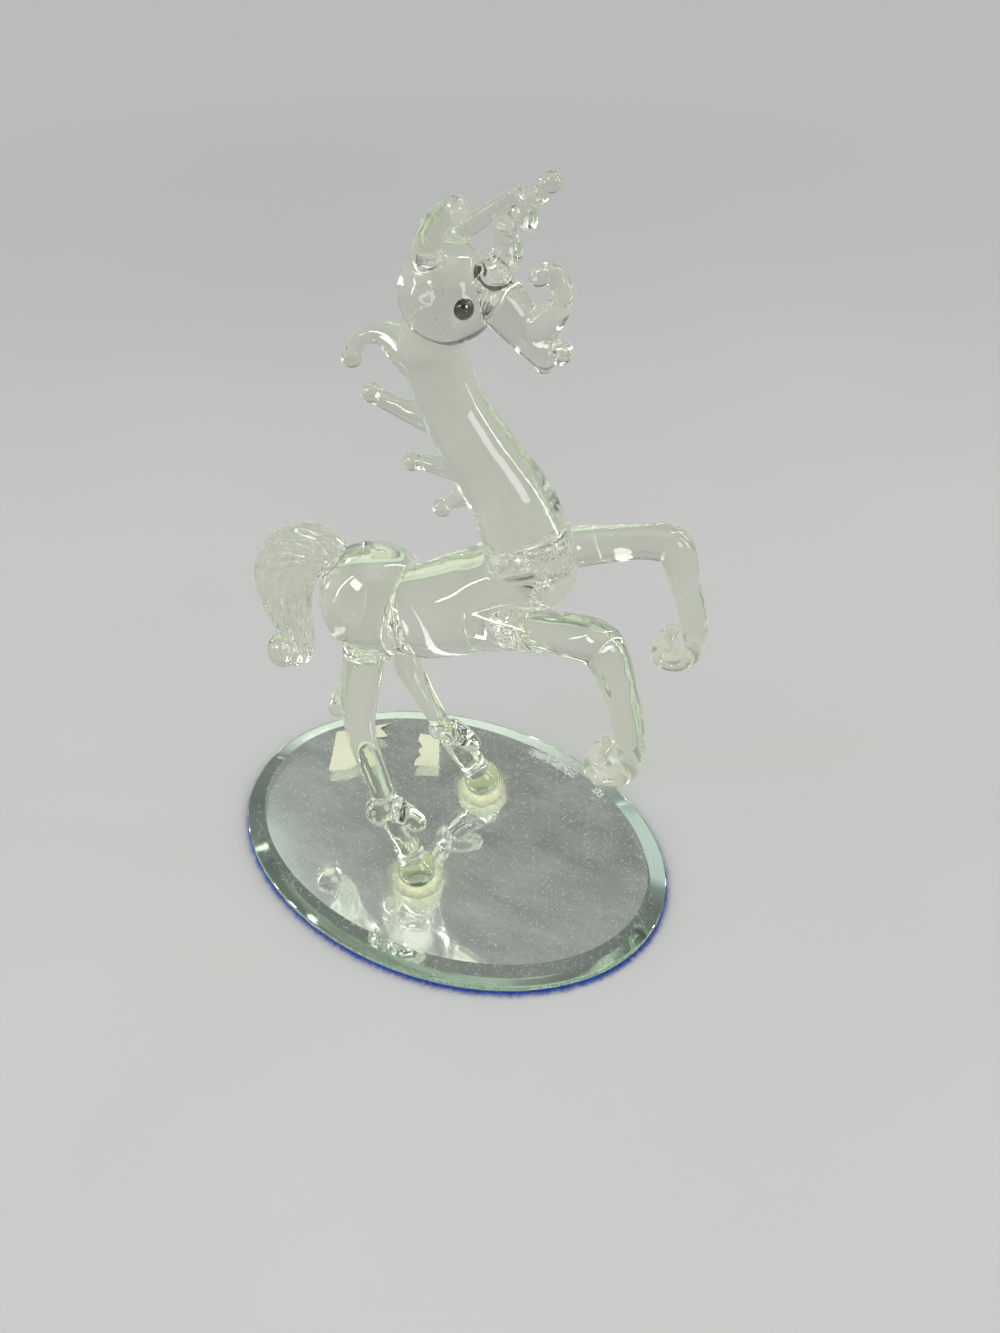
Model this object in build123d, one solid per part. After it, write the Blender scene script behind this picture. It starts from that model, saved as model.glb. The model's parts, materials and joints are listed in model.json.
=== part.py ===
"""Flame-worked clear glass unicorn rearing on an oval bevelled mirror.

Millimetres, +Z up, +X the way the unicorn faces, +Y its left side.
The origin is the middle of the felt underside. Points of the figure are
(x, y, height above the mirror), so a thicker base lifts the whole figure.
"""
import os
from math import atan2, cos, hypot, pi, radians, sin

from build123d import *

os.makedirs("parts", exist_ok=True)

# Base
BASE_LENGTH = 100.0
BASE_WIDTH = 70.0
FELT_T = 1.2
FELT_INSET = 0.2
BACKING_T = 0.3
PLATE_EDGE_T = 1.4
BEVEL_RISE = 1.6
BEVEL_W = 4.2
LABEL_T = 0.35

# Places on the figure, with heights above the mirror
HIND_BACK = 13.2
HIND_H = 64.0
CHEST_FORWARD = 18.2
CHEST_H = 82.4
HEAD_FORWARD = 4.2
HEAD_H = 127.4

# Body gathers
HIND_LENGTH_R = 11.0
HIND_WIDTH_R = 10.4
HIND_HEIGHT_R = 11.4
BARREL_R = 9.2
CHEST_R = 7.5
NECK_LOW_R = 6.6
NECK_TOP_R = 5.0
HEAD_R = 7.2

# Head pieces
EYE_R = 1.65
EYE_PROUD = 0.7
MUZZLE_ROOT_R = 3.5
MUZZLE_TIP_R = 2.35
UPPER_LIP_R = 1.75
LOWER_LIP_R = 1.3
NOSE_CURL_R = 1.5
HORN_ROD_R = 2.25
HORN_TIP_R = 1.35
HORN_SWING = 0.5
HORN_START = 105.0
HORN_TURNS = 3.5
EAR_RIGHT_R = 1.95
EAR_LEFT_R = 1.35

# Mane and tail
MANE_ROOT_R = 2.6
MANE_ROD_R = 1.35
MANE_BALL_R = 1.65
TAIL_R = 5.5
TAIL_RIDGES = 9
TAIL_RIDGE_DEPTH = 0.12
TAIL_TWIST = 40.0
TAIL_BALL_R = 3.7

# Legs
SHOULDER_R = 3.9
KNEE_R = 3.5
CANNON_R = 2.7
HOOF_ROLL_R = 1.9
HOOF_ROLL_T = 1.1
HOOF_ROLL_W = 3.7
HOOF_ROLL_TURN = 340.0
HOOF_ROLL_STEPS = 14
THIGH_R = 4.0
SHIN_R = 2.6
FETLOCK_R = 3.5
FETLOCK_H = 20.0
SPUR_R = 2.3
PASTERN_R = 2.6
HOOF_R = 4.2
HOOF_FLAT = 0.3
DROP_R = 2.2
GLUE_R = 6.0
GLUE_H = 1.5

PLATE_BOTTOM = FELT_T + BACKING_T
MIRROR_TOP = PLATE_BOTTOM + PLATE_EDGE_T + BEVEL_RISE
HOOF_REST = HOOF_R - HOOF_FLAT
HIND_AT = (-HIND_BACK, 0, HIND_H)
CHEST_AT = (CHEST_FORWARD, 0, CHEST_H)
HEAD_AT = (HEAD_FORWARD, 0, HEAD_H)


def at(x, y, height):
    """A point of the figure, at a height above the mirror."""
    return Vector(x, y, MIRROR_TOP + height)


def measured(place, unit, *stations):
    """Stations (x, y, height, radius) counted in units from a place on the figure."""
    x, y, height = place[:3]
    return [(x + unit * s[0], y + unit * s[1], height + unit * s[2], s[3]) for s in stations]


def between(low, high, share, forward, lift, radius):
    """A station on the way from one place to another, moved off their straight line."""
    x, y, height = (a + share * (b - a) for a, b in zip(low, high))
    return (x + forward, y, height + lift, radius)


def shank(share):
    """Height at a share of the way from the fetlocks up to the hips."""
    return FETLOCK_H + share * (HIND_H - FETLOCK_H)


def ankle(share):
    """Height at a share of the way from the middle of a hind hoof up to the fetlock."""
    return HOOF_REST + share * (FETLOCK_H - HOOF_REST)


def under(x, y, height, radius):
    """A station of a hind leg, with x and y counted in hindquarter radii from their middle."""
    return (HIND_AT[0] + HIND_LENGTH_R * x, HIND_WIDTH_R * y, height, radius)


def blend(a, b, c, d, t):
    """Smooth value between b and c, with a and d as their neighbours."""
    return 0.5 * (2 * b + (c - a) * t + (2 * a - 5 * b + 4 * c - d) * t * t + (3 * b - 3 * c + d - a) * t**3)


def smooth(stations, steps):
    """Fill in a smooth run of (x, y, height, radius) between the stations."""
    padded = [stations[0]] + list(stations) + [stations[-1]]
    run = []
    for i in range(1, len(padded) - 2):
        for k in range(steps):
            run.append(tuple(blend(*values, k / steps) for values in zip(*padded[i - 1:i + 3])))
    run.append(tuple(stations[-1]))
    return run


def frames(run):
    """A plane square to the run at each of its stations, all turned the same way."""
    points = [at(*s[:3]) for s in run]
    planes = []
    for i, point in enumerate(points):
        along = points[min(i + 1, len(points) - 1)] - points[max(i - 1, 0)]
        planes.append(Plane(point, x_dir=Vector(0, 1, 0), z_dir=along))
    return planes


def rod(stations, steps=3):
    """A bent tapered rod of round section through the stations."""
    run = smooth(stations, steps)
    return loft([(plane * Circle(s[3])).face() for plane, s in zip(frames(run), run)])


def ball(x, y, height, radius):
    """A round bead."""
    return Pos(at(x, y, height)) * Sphere(radius)


def ball_rod(stations, ball_r, steps=3):
    """A bent rod that ends in a melted ball at its last station."""
    return rod(stations, steps) + ball(*stations[-1][:3], ball_r)


def fuse_to(piece, *larger):
    """Trim a piece where it melts into larger ones and keep its main solid."""
    for other in larger:
        piece = piece - other
    return max(piece.solids(), key=lambda s: s.volume)


def write(**pieces):
    """Write each piece to a file of its own name."""
    for name, piece in pieces.items():
        export_step(piece, f"parts/{name}.step")


# Oval base: felt, silvered backing and bevelled plate
half_length = BASE_LENGTH / 2
half_width = BASE_WIDTH / 2
felt_pad = extrude(Ellipse(half_length - FELT_INSET, half_width - FELT_INSET), FELT_T)
mirror_backing = extrude(Pos(0, 0, FELT_T) * Ellipse(half_length, half_width), BACKING_T)
plate_rim = extrude(Pos(0, 0, PLATE_BOTTOM) * Ellipse(half_length, half_width), PLATE_EDGE_T)
bevel_foot = Pos(0, 0, PLATE_BOTTOM + PLATE_EDGE_T) * Ellipse(half_length, half_width)
bevel_top = Pos(0, 0, MIRROR_TOP) * Ellipse(half_length - BEVEL_W, half_width - BEVEL_W)
mirror_plate = plate_rim + loft([bevel_foot.face(), bevel_top.face()], ruled=True)

# Two torn ends of a bare paper sticker on the mirror, behind the hooves
def label(*corners):
    """A flat piece of paper, its corners in half lengths and half widths of the base."""
    outline = Polyline(*[(half_length * x, half_width * y) for x, y in corners], close=True)
    return extrude(Pos(0, 0, MIRROR_TOP) * make_face(outline), LABEL_T)


label_end_left = label(
    (-0.78, 0.4), (-0.56, 0.64), (-0.59, 0.57), (-0.53, 0.52), (-0.58, 0.47),
    (-0.5, 0.36), (-0.61, 0.13), (-0.68, 0.07),
)
label_end_right = label(
    (-0.4, 0.64), (-0.3, 0.68), (-0.22, 0.43), (-0.33, 0.36), (-0.34, 0.41),
    (-0.33, 0.45), (-0.36, 0.5), (-0.35, 0.54), (-0.39, 0.58),
)

# Body: two large gathers joined by the barrel
hindquarters = Pos(at(*HIND_AT)) * scale(Sphere(1), (HIND_LENGTH_R, HIND_WIDTH_R, HIND_HEIGHT_R))
neck_line = [
    (*CHEST_AT, CHEST_R),
    between(CHEST_AT, HEAD_AT, 0.12, 0.16 * NECK_TOP_R, 0, CHEST_R),
    between(CHEST_AT, HEAD_AT, 0.285, -0.02 * NECK_TOP_R, 0, NECK_LOW_R),
    between(CHEST_AT, HEAD_AT, 0.455, -0.68 * NECK_TOP_R, 0, (NECK_LOW_R + NECK_TOP_R) / 2),
    between(CHEST_AT, HEAD_AT, 0.62, -1.1 * NECK_TOP_R, 0, NECK_TOP_R),
    between(CHEST_AT, HEAD_AT, 0.79, -1.1 * NECK_TOP_R, 0, NECK_TOP_R),
    between(CHEST_AT, HEAD_AT, 0.945, -0.52 * NECK_TOP_R, 0, NECK_TOP_R),
]
neck_blank = rod(neck_line) + ball(*neck_line[0][:3], CHEST_R)
barrel_line = [
    between(HIND_AT, CHEST_AT, 0, 0, -0.13 * BARREL_R, 0.86 * BARREL_R),
    between(HIND_AT, CHEST_AT, 0.325, 0, -0.54 * BARREL_R, 0.95 * BARREL_R),
    between(HIND_AT, CHEST_AT, 0.62, 0, -0.5 * BARREL_R, BARREL_R),
    between(HIND_AT, CHEST_AT, 0.835, 0, -0.37 * BARREL_R, 0.96 * BARREL_R),
    between(HIND_AT, CHEST_AT, 0.98, 0, -0.05 * BARREL_R, 0.72 * BARREL_R),
]
barrel = fuse_to(rod(barrel_line), hindquarters, neck_blank)

# Head with inlaid black eyes
head_ball = ball(*HEAD_AT, HEAD_R)


def eye(side):
    """A black bead set in the head, on the left (1) or right (-1)."""
    look = Vector(0.72, 0.69 * side, 0.08).normalized()
    return Plane(at(*HEAD_AT) + look * (HEAD_R + EYE_PROUD - EYE_R), z_dir=look) * Sphere(EYE_R)


eye_left = eye(1)
eye_right = eye(-1)
head = head_ball - eye_left - eye_right
neck = fuse_to(neck_blank, head_ball)

# Muzzle, lips and the curl on the nose
muzzle_line = measured(
    HEAD_AT,
    HEAD_R,
    (0.67, 0, 0.44, 1.05 * MUZZLE_ROOT_R),
    (1.22, 0, -0.03, MUZZLE_ROOT_R),
    (1.69, 0, -0.46, (MUZZLE_ROOT_R + MUZZLE_TIP_R) / 2),
    (2.08, 0, -0.81, MUZZLE_TIP_R),
)
muzzle = fuse_to(ball_rod(muzzle_line, MUZZLE_TIP_R), head_ball, eye_left, eye_right)
lips = measured(
    muzzle_line[-1],
    MUZZLE_TIP_R,
    (1.06, 0, 0.26, UPPER_LIP_R),
    (0.04, 0, -0.81, LOWER_LIP_R),
)
upper_lip = fuse_to(ball(*lips[0]), muzzle)
lower_lip = fuse_to(ball(*lips[1]), muzzle, upper_lip)
nose_curl_line = measured(
    HEAD_AT,
    HEAD_R,
    (1.78, 0, -0.56, 1.85 * NOSE_CURL_R),
    (2.06, 0, -0.19, 1.7 * NOSE_CURL_R),
    (2.32, 0, 0.14, 1.25 * NOSE_CURL_R),
    (2.4, 0, 0.44, NOSE_CURL_R),
    (2.32, 0, 0.69, 0.92 * NOSE_CURL_R),
    (2.11, 0, 0.81, 0.85 * NOSE_CURL_R),
    (1.93, 0, 0.71, 0.8 * NOSE_CURL_R),
)
nose_curl = fuse_to(ball_rod(nose_curl_line, 1.04 * NOSE_CURL_R), muzzle, upper_lip)

# Horn: a rod wound round its own line as it was drawn out, with a ball tip
horn_line = measured(
    HEAD_AT,
    HEAD_R,
    (0.83, 0, 0.17, 1.3 * HORN_ROD_R),
    (1.04, 0, 0.69, 1.08 * HORN_ROD_R),
    (1.19, 0, 1.22, 0.86 * HORN_ROD_R),
    (1.42, 0, 1.64, 0.86 * HORN_ROD_R),
    (1.69, 0, 2, 0.7 * HORN_ROD_R),
    (1.93, 0, 2.25, 0.5 * HORN_ROD_R),
    (2.12, 0, 2.4, 0.45 * HORN_ROD_R),
)
horn_run = smooth(horn_line, 5)
horn_faces = []
for i, (plane, station) in enumerate(zip(frames(horn_run), horn_run)):
    share = i / (len(horn_run) - 1)
    angle = radians(HORN_START + 360 * HORN_TURNS * share**1.5)
    swing = HORN_SWING * station[3] * min(1, 4 * share, 4 * (1 - share))
    horn_faces.append((plane * Pos(swing * cos(angle), swing * sin(angle)) * Circle(station[3])).face())
horn = fuse_to(loft(horn_faces) + ball(*horn_line[-1][:3], HORN_TIP_R), head_ball, muzzle)

# Ears: the right one short and stout, the left one drawn out thinner
ear_right_line = measured(
    HEAD_AT,
    HEAD_R,
    (-0.22, -0.44, 0.5, 1.25 * EAR_RIGHT_R),
    (-0.07, -0.62, 1.03, 1.05 * EAR_RIGHT_R),
    (0.11, -0.74, 1.47, EAR_RIGHT_R),
    (0.39, -0.83, 1.81, 0.9 * EAR_RIGHT_R),
    (0.68, -0.9, 2, 0.85 * EAR_RIGHT_R),
)
ear_left_line = measured(
    HEAD_AT,
    HEAD_R,
    (-0.36, 0.47, 0.44, 1.35 * EAR_LEFT_R),
    (-0.11, 0.64, 0.86, 1.15 * EAR_LEFT_R),
    (0.42, 0.78, 1.25, EAR_LEFT_R),
    (0.96, 0.9, 1.67, 0.85 * EAR_LEFT_R),
)
ear_right = fuse_to(ball_rod(ear_right_line, 0.95 * EAR_RIGHT_R), head_ball)
ear_left = fuse_to(ball_rod(ear_left_line, EAR_LEFT_R), head_ball, horn)

# Mane: four curls down the back of the neck, longest at the top
mane_line_1 = measured(
    neck_line[5],
    NECK_TOP_R,
    (-0.24, 0, -0.28, 1.85 * MANE_ROOT_R),
    (-1.04, 0, -0.04, 1.25 * MANE_ROOT_R),
    (-1.76, 0, 0.16, 0.68 * MANE_ROOT_R),
    (-2.36, 0, -0.04, 1.05 * MANE_ROD_R),
    (-2.76, 0, -0.48, MANE_ROD_R),
    (-2.94, 0, -0.88, 0.95 * MANE_ROD_R),
)
mane_line_2 = measured(
    neck_line[4],
    NECK_TOP_R,
    (-0.4, 0, -0.6, 1.3 * MANE_ROOT_R),
    (-1.28, 0, -0.7, 0.85 * MANE_ROOT_R),
    (-1.92, 0, -0.68, 1.1 * MANE_ROD_R),
    (-2.44, 0, -0.56, MANE_ROD_R),
    (-2.82, 0, -0.42, 0.95 * MANE_ROD_R),
)
mane_line_3 = measured(
    neck_line[3],
    NECK_TOP_R,
    (-0.48, 0, -0.72, 1.2 * MANE_ROOT_R),
    (-1.24, 0, -0.92, 0.75 * MANE_ROOT_R),
    (-1.86, 0, -1.04, 0.95 * MANE_ROD_R),
    (-2.38, 0, -1.12, 0.9 * MANE_ROD_R),
)
mane_line_4 = measured(
    neck_line[2],
    NECK_TOP_R,
    (-0.9, 0, 0.08, 1.1 * MANE_ROOT_R),
    (-1.5, 0, -0.26, 0.8 * MANE_ROOT_R),
    (-2.06, 0, -0.72, MANE_ROD_R),
    (-2.48, 0, -1.08, 0.9 * MANE_ROD_R),
)
mane_curl_1 = fuse_to(ball_rod(mane_line_1, MANE_BALL_R), neck)
mane_curl_2 = fuse_to(ball_rod(mane_line_2, MANE_BALL_R), neck)
mane_curl_3 = fuse_to(ball_rod(mane_line_3, 0.95 * MANE_BALL_R), neck)
mane_curl_4 = fuse_to(ball_rod(mane_line_4, MANE_BALL_R), neck)

# Tail: a ridged gather, swept up, over and down into a smooth ball
tail_line = measured(
    HIND_AT,
    TAIL_R,
    (-0.8, 0, 0.44, 0.62 * TAIL_R),
    (-1.49, 0, 1.05, 0.7 * TAIL_R),
    (-2.4, 0, 1.27, 0.88 * TAIL_R),
    (-3.35, 0, 0.62, TAIL_R),
    (-3.84, 0, -0.65, 0.96 * TAIL_R),
    (-3.85, 0, -1.96, 0.74 * TAIL_R),
    (-3.67, 0, -3.09, 0.55 * TAIL_R),
    (-3.85, 0, -4, 0.55 * TAIL_R),
    (-4.49, 0, -4.2, 0.5 * TAIL_R),
)
tail_run = smooth(tail_line, 3)
tail_faces = []
for i, (plane, station) in enumerate(zip(frames(tail_run), tail_run)):
    share = i / (len(tail_run) - 1)
    depth = TAIL_RIDGE_DEPTH * min(1, 5 * share, 5 * (1 - share))
    edge = []
    for k in range(2 * TAIL_RIDGES):
        angle = radians(TAIL_TWIST * share) + pi * k / TAIL_RIDGES
        reach = station[3] * (1 + depth * (1 if k % 2 else -1))
        edge.append((reach * cos(angle), reach * sin(angle)))
    tail_faces.append((plane * make_face(Spline(*edge, periodic=True))).face())
tail = fuse_to(loft(tail_faces) + ball(*tail_line[-1][:3], TAIL_BALL_R), hindquarters)


def front_leg(line, roll_back, roll_drop):
    """A raised foreleg and its hoof, rolled up from the flattened end of the rod."""
    x, y, height, radius = line[-1]
    roll_x, roll_height = x - CANNON_R * roll_back, height - CANNON_R * roll_drop
    leg = fuse_to(rod(line), barrel, neck_blank)
    away = hypot(x - roll_x, height - roll_height)
    start = atan2(height - roll_height, x - roll_x)
    run = []
    for k in range(HOOF_ROLL_STEPS + 1):
        share = k / HOOF_ROLL_STEPS
        ease = (1 - share) ** 2
        angle = start - radians(HOOF_ROLL_TURN) * share**1.5
        reach = HOOF_ROLL_R + (away - HOOF_ROLL_R) * ease
        thick = HOOF_ROLL_T + (radius - HOOF_ROLL_T) * ease
        wide = HOOF_ROLL_W + (radius - HOOF_ROLL_W) * ease
        run.append((roll_x + reach * cos(angle), y, roll_height + reach * sin(angle), thick, wide))
    planes = [frames(smooth(line, 3))[-1]] + frames(run)[1:]
    hoof = loft([(plane * Ellipse(s[4], s[3])).face() for plane, s in zip(planes, run)])
    return leg, hoof


front_right_line = measured(
    CHEST_AT,
    CHEST_R,
    (-0.76, -0.67, -1.23, 1.5 * SHOULDER_R),
    (-0.03, -0.96, -0.93, 1.12 * SHOULDER_R),
    (0.67, -1.17, -0.64, 0.94 * SHOULDER_R),
    (1.37, -1.37, -0.29, KNEE_R),
    (2.19, -1.6, -0.05, 1.05 * KNEE_R),
    (2.56, -1.69, -0.43, 0.92 * KNEE_R),
    (2.79, -1.73, -1.03, 1.05 * CANNON_R),
    (3.05, -1.77, -1.8, CANNON_R),
    (3.24, -1.8, -2.67, 0.86 * CANNON_R),
)
front_left_line = measured(
    CHEST_AT,
    CHEST_R,
    (-0.36, 0.75, -0.32, SHOULDER_R),
    (0.37, 0.96, 0, 0.95 * SHOULDER_R),
    (1.17, 1.23, 0.2, 0.85 * SHOULDER_R),
    (1.97, 1.47, 0.37, 0.86 * KNEE_R),
    (2.64, 1.65, 0.37, 0.93 * KNEE_R),
    (2.89, 1.71, -0.11, 0.84 * KNEE_R),
    (3.07, 1.73, -0.71, 0.97 * CANNON_R),
    (3.31, 1.76, -1.39, 0.92 * CANNON_R),
    (3.48, 1.79, -2.13, 0.8 * CANNON_R),
)
front_leg_right, front_hoof_right = front_leg(front_right_line, 1.56, 1.68)
front_leg_left, front_hoof_left = front_leg(front_left_line, 1.48, 1.62)


def hind_leg(line, drop_line, bead, spur_line, pastern_line, hoof):
    """A standing hind leg: rod, hock drop, fetlock bead and spur, pastern, hoof, glue."""
    hoof_ball = ball(*hoof)
    foot = fuse_to(hoof_ball, mirror_plate)
    knuckle = ball(*bead)
    leg = fuse_to(rod(line), hindquarters, barrel, knuckle)
    drop = fuse_to(ball_rod(drop_line, DROP_R), leg, hindquarters)
    spur = fuse_to(ball_rod(spur_line, 0.92 * SPUR_R), knuckle, leg)
    pastern = fuse_to(rod(pastern_line), hoof_ball, knuckle, spur, leg)
    skirt = Pos(at(hoof[0], hoof[1], 0)) * loft(
        [
            Ellipse(1.1 * GLUE_R, GLUE_R).face(),
            (Pos(0, 0, 0.35 * GLUE_H) * Ellipse(0.86 * GLUE_R, 0.8 * GLUE_R)).face(),
            (Pos(0, 0, GLUE_H) * Ellipse(0.58 * GLUE_R, 0.56 * GLUE_R)).face(),
        ]
    )
    glue = fuse_to(skirt, hoof_ball)
    return leg, drop, knuckle, spur, pastern, foot, glue


(hind_leg_right, hock_drop_right, fetlock_bead_right, fetlock_spur_right, pastern_right, hind_hoof_right,
 glue_right) = hind_leg(
    [
        under(0.16, -0.6, shank(1), 1.1 * THIGH_R),
        under(0.09, -0.73, shank(0.84), 1.03 * THIGH_R),
        under(0.02, -0.84, shank(0.68), 0.95 * THIGH_R),
        under(-0.05, -0.94, shank(0.49), 0.82 * THIGH_R),
        under(0.03, -1.04, shank(0.33), 1.08 * SHIN_R),
        under(0.25, -1.13, shank(0.16), SHIN_R),
        under(0.45, -1.21, shank(0), SHIN_R),
    ],
    [
        under(-0.16, -0.83, shank(0.7), 0.4 * DROP_R),
        under(-0.33, -0.87, shank(0.61), 0.65 * DROP_R),
        under(-0.44, -0.9, shank(0.53), 0.9 * DROP_R),
        under(-0.47, -0.92, shank(0.49), 0.95 * DROP_R),
    ],
    under(0.38, -1.25, ankle(0.83), FETLOCK_R),
    [
        under(0.56, -1.23, ankle(0.99), 1.1 * SPUR_R),
        under(0.84, -1.23, ankle(0.94), 1.05 * SPUR_R),
        under(1.13, -1.24, ankle(0.85), 0.9 * SPUR_R),
    ],
    [
        under(0.58, -1.26, ankle(0.83), PASTERN_R),
        under(0.82, -1.32, ankle(0.54), 0.98 * PASTERN_R),
        under(1, -1.38, ankle(0.28), 1.15 * PASTERN_R),
        under(1.13, -1.41, ankle(0.04), 1.2 * PASTERN_R),
    ],
    under(1.15, -1.42, HOOF_REST, HOOF_R),
)
(hind_leg_left, hock_drop_left, fetlock_bead_left, fetlock_spur_left, pastern_left, hind_hoof_left,
 glue_left) = hind_leg(
    [
        under(0.16, 0.6, shank(1), 1.1 * THIGH_R),
        under(0.05, 0.71, shank(0.84), 0.98 * THIGH_R),
        under(-0.05, 0.83, shank(0.65), 0.85 * THIGH_R),
        under(-0.05, 0.93, shank(0.41), 1.15 * SHIN_R),
        under(0.15, 1.02, shank(0.23), 0.96 * SHIN_R),
        under(0.38, 1.09, shank(0.08), 0.82 * SHIN_R),
        under(0.53, 1.12, shank(-0.01), 0.82 * SHIN_R),
    ],
    [
        under(-0.2, 0.83, shank(0.67), 0.4 * DROP_R),
        under(-0.35, 0.87, shank(0.59), 0.65 * DROP_R),
        under(-0.45, 0.9, shank(0.51), 0.9 * DROP_R),
        under(-0.46, 0.92, shank(0.47), 0.95 * DROP_R),
    ],
    under(0.47, 1.15, ankle(0.9), 0.8 * FETLOCK_R),
    [
        under(0.62, 1.14, ankle(0.99), 1.1 * SPUR_R),
        under(0.89, 1.15, ankle(0.91), 1.1 * SPUR_R),
        under(1.16, 1.17, ankle(0.8), 0.9 * SPUR_R),
    ],
    [
        under(0.64, 1.17, ankle(0.8), 0.95 * PASTERN_R),
        under(0.85, 1.22, ankle(0.54), PASTERN_R),
        under(1.13, 1.27, ankle(0.28), 1.15 * PASTERN_R),
        under(1.29, 1.3, ankle(0.04), 1.2 * PASTERN_R),
    ],
    under(1.31, 1.31, HOOF_REST, HOOF_R),
)

write(
    felt_pad=felt_pad,
    mirror_backing=mirror_backing,
    mirror_plate=mirror_plate,
    label_end_left=label_end_left,
    label_end_right=label_end_right,
    hindquarters=hindquarters,
    barrel=barrel,
    neck=neck,
    head=head,
    eye_right=eye_right,
    eye_left=eye_left,
    muzzle=muzzle,
    upper_lip=upper_lip,
    lower_lip=lower_lip,
    nose_curl=nose_curl,
    horn=horn,
    ear_right=ear_right,
    ear_left=ear_left,
    mane_curl_1=mane_curl_1,
    mane_curl_2=mane_curl_2,
    mane_curl_3=mane_curl_3,
    mane_curl_4=mane_curl_4,
    tail=tail,
    front_leg_right=front_leg_right,
    front_leg_left=front_leg_left,
    front_hoof_right=front_hoof_right,
    front_hoof_left=front_hoof_left,
    hind_leg_right=hind_leg_right,
    hind_leg_left=hind_leg_left,
    hock_drop_right=hock_drop_right,
    hock_drop_left=hock_drop_left,
    fetlock_bead_right=fetlock_bead_right,
    fetlock_bead_left=fetlock_bead_left,
    fetlock_spur_right=fetlock_spur_right,
    fetlock_spur_left=fetlock_spur_left,
    pastern_right=pastern_right,
    pastern_left=pastern_left,
    hind_hoof_right=hind_hoof_right,
    hind_hoof_left=hind_hoof_left,
    glue_right=glue_right,
    glue_left=glue_left,
)
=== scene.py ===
"""A clear glass unicorn on an oval bevelled mirror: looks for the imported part.

The solids of clear glass are melted into one continuous skin, as a flame would melt them,
and the skin is cut back into a piece per solid.
"""

import json
import math

import bpy
import numpy as np
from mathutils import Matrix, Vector, noise
from mathutils.bvhtree import BVHTree


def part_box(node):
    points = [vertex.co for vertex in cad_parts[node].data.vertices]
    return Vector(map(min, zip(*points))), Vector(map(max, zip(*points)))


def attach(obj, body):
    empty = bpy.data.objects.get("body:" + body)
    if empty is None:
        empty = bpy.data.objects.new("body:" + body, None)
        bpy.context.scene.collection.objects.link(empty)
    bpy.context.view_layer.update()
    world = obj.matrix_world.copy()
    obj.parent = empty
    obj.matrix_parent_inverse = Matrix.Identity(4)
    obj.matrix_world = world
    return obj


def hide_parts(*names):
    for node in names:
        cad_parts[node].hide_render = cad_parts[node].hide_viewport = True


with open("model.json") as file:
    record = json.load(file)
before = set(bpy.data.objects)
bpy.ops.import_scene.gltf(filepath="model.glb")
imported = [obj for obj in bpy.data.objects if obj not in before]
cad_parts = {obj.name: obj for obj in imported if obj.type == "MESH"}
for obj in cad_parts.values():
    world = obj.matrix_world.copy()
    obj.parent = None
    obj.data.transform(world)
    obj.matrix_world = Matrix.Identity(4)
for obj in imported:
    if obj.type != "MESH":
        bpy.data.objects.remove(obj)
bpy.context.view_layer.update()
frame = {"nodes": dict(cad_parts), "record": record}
NODES = frame["nodes"]
MM = 0.001
rng = np.random.default_rng(11)

# Glass skin: size of the melt's grid, smoothing passes, and fewer of them for the ridged tail
VOXEL = 0.34 * MM
RELAX_PAIRS = 9
PUSH_IN = 0.55
PUSH_OUT = -0.57
RIDGED = "tail"
RIDGED_PAIRS = 2
NORMAL_PASSES = 2
SKIN_LIFT = 0.02 * MM

# Glass finishes: which nodes have one of their own, and the two colour casts of each; the rolled hooves are
# also made partly milky in their cream casts, a painted glow that stands in for the light their rolls
# gather
UPRIGHT_RODS = ("neck", "hind_leg_right", "hind_leg_left")
STANDING_HOOVES = ("hind_hoof_right", "hind_hoof_left")
ROLLED_HOOVES = ("front_hoof_right", "front_hoof_left")
CLEAR_CASTS = ((0.85, 0.89, 0.75), (0.91, 0.94, 0.84))
THICK_CASTS = ((0.60, 0.68, 0.65), (0.68, 0.75, 0.72))
ROLLED_TINT_AND_GLOW_CASTS = ((0.88, 0.92, 0.77), (0.94, 0.96, 0.86))
# Share of the rolled hooves painted milky cream: a painted glow in place of the light gathered in their
# rolls
ROLLED_PAINTED_GLOW = 0.11
DRAWN_WAVES = (3.0, 3.0, 0.16)
DRAWN_RELIEF = 0.2
GLASS_IOR = 1.5
PLATE_IOR = 1.52
GLUE_IOR = 1.48

# Eyes: beads made smaller and cut flat inside the head
EYE_SHRINK = 0.82
EYE_DEPTH = 1.05 * MM
EYE_FLATTEN = 0.9

# Bubbles in the head: their middle, spread and limit are shares of its radius
BUBBLES = 46
BUBBLE_AT = (-0.05, -0.55, 0.10)
BUBBLE_SPREAD = 0.34
BUBBLE_LIMIT = 0.92
BUBBLE_R = 0.075 * MM
BUBBLE_VARIETY = 0.4
BUBBLE_SIDES = 8

# Mirror: NEAR_DUST is the dust gained per millimetre towards the unicorn's right side
PLATE_SEGMENTS = 192
BEVEL_W = 4.2 * MM
BEVEL_RISE = 1.6 * MM
ARRIS = 0.18 * MM
SILVER_SINK = 0.03 * MM
NEAR_DUST = -0.0025
PLATE_TINT = (0.91, 0.96, 0.91)
PLATE_DUST = 1.0
BEVEL_TINT = (0.80, 0.93, 0.82)
BEVEL_DUST = 0.4

# Fibres of felt and lint are thin tubes
STRAND_SIDES = 3

# Felt pad
FELT_SPREAD = 0.12 * MM
FELT_SEGMENTS = 320
FELT_LEVELS = (0.0, 0.12, 0.35, 0.65, 0.9, 0.99)
FELT_LIFT = 0.03 * MM
FELT_MARGIN = 0.04 * MM
FELT_FRAY = 0.16 * MM
FELT_ROUND = 0.35 * MM
FRAY_COARSE = 900
FRAY_FINE = 2600
FRAY_FINE_SHARE = 0.5

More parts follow.
